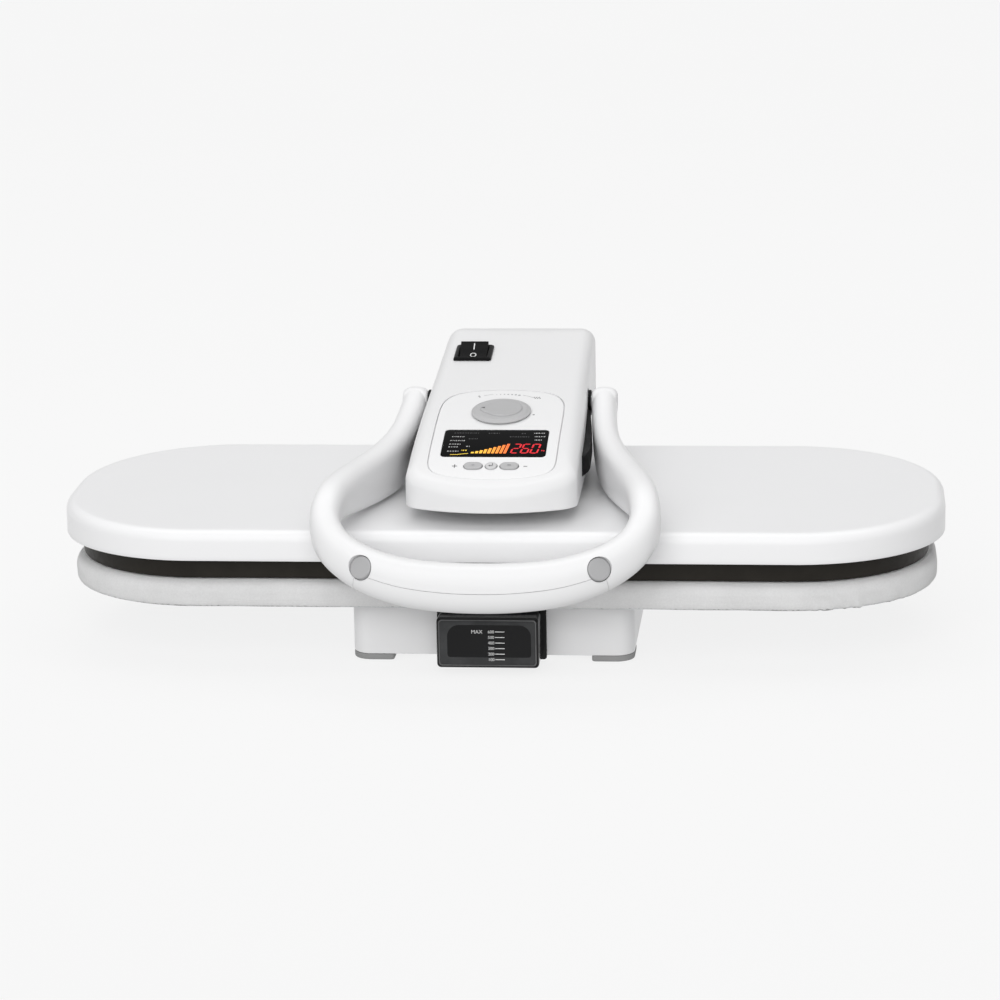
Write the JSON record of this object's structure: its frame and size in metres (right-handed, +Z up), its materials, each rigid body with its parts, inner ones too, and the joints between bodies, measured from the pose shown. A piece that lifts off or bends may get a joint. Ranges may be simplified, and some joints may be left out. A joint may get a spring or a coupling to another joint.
{
  "type": "steam ironing press",
  "caption": "Table-top steam ironing press: heated head over a padded board, ring handle, tilted control housing, drawer water tank and rubber feet.",
  "frame": {"origin": "on the floor under the middle of the press", "axes": "+X to the user's right, -Y towards the user, +Z up"},
  "size_m": [0.66, 0.39, 0.1948],
  "materials": {
    "white_plastic": "satin gloss moulded",
    "inner_plastic": "plain moulded",
    "panel_plastic": "satin",
    "grey_plastic": "satin",
    "knob_plastic": "satin",
    "black_plastic": "satin gloss",
    "smoked_plastic": "clear smoked gloss",
    "window": "gloss",
    "dark_plate": "dark non-stick coating",
    "pad_cloth": "brushed heat-resistant cloth",
    "foam": "open-cell foam",
    "board_metal": "plain sheet",
    "steel": "brushed",
    "dark_steel": "painted",
    "bright_steel": "ground",
    "bronze": "turned",
    "rubber_grey": "matt",
    "rubber_black": "matt",
    "hose": "translucent",
    "circuit": "board",
    "ceramic": "fired"
  },
  "bodies": {
    "base": {"base_shell": "white_plastic", "tank_bay": "inner_plastic", "hinge_column": "white_plastic", "base_bottom_cover": "inner_plastic", "feet": "rubber_grey", "board_plate": "board_metal", "foam_pad": "foam", "pad_cover": "pad_cloth", "hinge_bracket": "dark_steel", "hinge_pin": "bright_steel", "pin_clips": "steel", "lift_springs": "steel", "water_pump": "inner_plastic", "valve_socket": "inner_plastic", "suction_hose": "hose", "feed_hose": "hose", "cord_gland": "rubber_black", "power_board": "circuit", "base_screws": "steel"},
    "head": {"press_shell": "white_plastic", "heating_plate": "dark_plate", "plate_gasket": "rubber_black", "heating_element": "steel", "steam_chamber_cover": "board_metal", "thermostat": "ceramic", "hanger_posts": "bright_steel", "hanger_nuts": "steel", "levelling_springs": "steel", "arm_housing": "white_plastic", "arm_cover": "inner_plastic", "arm_frame": "dark_steel", "hinge_bushes": "bronze", "shaft_bushes": "bronze", "control_panel": "panel_plastic", "display_window": "window", "display_board": "circuit", "dial_encoder": "black_plastic", "switch_body": "black_plastic", "steam_pipe": "hose", "cover_screws": "steel"},
    "handle": {"handle_body": "white_plastic", "grip_cover": "white_plastic", "handle_shaft": "bright_steel", "toggle_crank": "dark_steel", "steam_switches": "black_plastic", "grip_screws": "steel"},
    "links": {"toggle_links": "dark_steel"},
    "dial": {"dial_knob": "knob_plastic"},
    "plus_key": {"plus_button": "grey_plastic"},
    "enter_key": {"enter_button": "grey_plastic"},
    "minus_key": {"minus_button": "grey_plastic"},
    "rocker": {"power_rocker": "black_plastic"},
    "thumb_left": {"steam_button_left": "grey_plastic"},
    "thumb_right": {"steam_button_right": "grey_plastic"},
    "tank": {"tank_body": "smoked_plastic", "tank_lid": "smoked_plastic", "tank_front": "smoked_plastic", "tank_outlet": "inner_plastic", "tank_seal": "rubber_black"}
  },
  "joints": [
    {"name": "head_lift", "type": "hinge", "parent": "base", "child": "head", "pos_m": [0, 0.167, 0.1], "axis": [-1, 0, 0], "range_deg": [0, 55]},
    {"name": "handle_swing", "type": "hinge", "parent": "head", "child": "handle", "pos_m": [0, 0.06, 0.158], "axis": [-1, 0, 0], "range_deg": [0, 24]},
    {"name": "link_fold", "type": "hinge", "parent": "handle", "child": "links", "pos_m": [0, 0.08142, 0.15298], "axis": [-1, 0, 0], "range_deg": [-31, 0]},
    {"name": "dial_turn", "type": "hinge", "parent": "head", "child": "dial", "pos_m": [0, -0.0092, 0.16493], "axis": [0, -0.2003, 0.9797], "range_deg": [-210, 60]},
    {"name": "plus_press", "type": "slide", "parent": "head", "child": "plus_key", "axis": [0, 0.3656, -0.9308], "range_m": [0, 0.0012], "stiffness_N_per_m": 500},
    {"name": "enter_press", "type": "slide", "parent": "head", "child": "enter_key", "axis": [0, 0.3656, -0.9308], "range_m": [0, 0.0012], "stiffness_N_per_m": 500},
    {"name": "minus_press", "type": "slide", "parent": "head", "child": "minus_key", "axis": [0, 0.3656, -0.9308], "range_m": [0, 0.0012], "stiffness_N_per_m": 500},
    {"name": "rocker_tilt", "type": "hinge", "parent": "head", "child": "rocker", "pos_m": [-0.0325, 0.10825, 0.18765], "axis": [-1, 0, 0], "range_deg": [0, 28]},
    {"name": "steam_left_press", "type": "slide", "parent": "handle", "child": "thumb_left", "axis": [0.3668, 0.8151, -0.4483], "range_m": [0, 0.0035], "stiffness_N_per_m": 600},
    {"name": "steam_right_press", "type": "slide", "parent": "handle", "child": "thumb_right", "axis": [-0.3668, 0.8151, -0.4483], "range_m": [0, 0.0035], "stiffness_N_per_m": 600},
    {"name": "tank_slide", "type": "slide", "parent": "base", "child": "tank", "axis": [0, -1, 0], "range_m": [0, 0.2]}
  ],
  "couplings": [
    {"joint": "link_fold", "follows": "handle_swing", "ratio": -1.284}
  ]
}
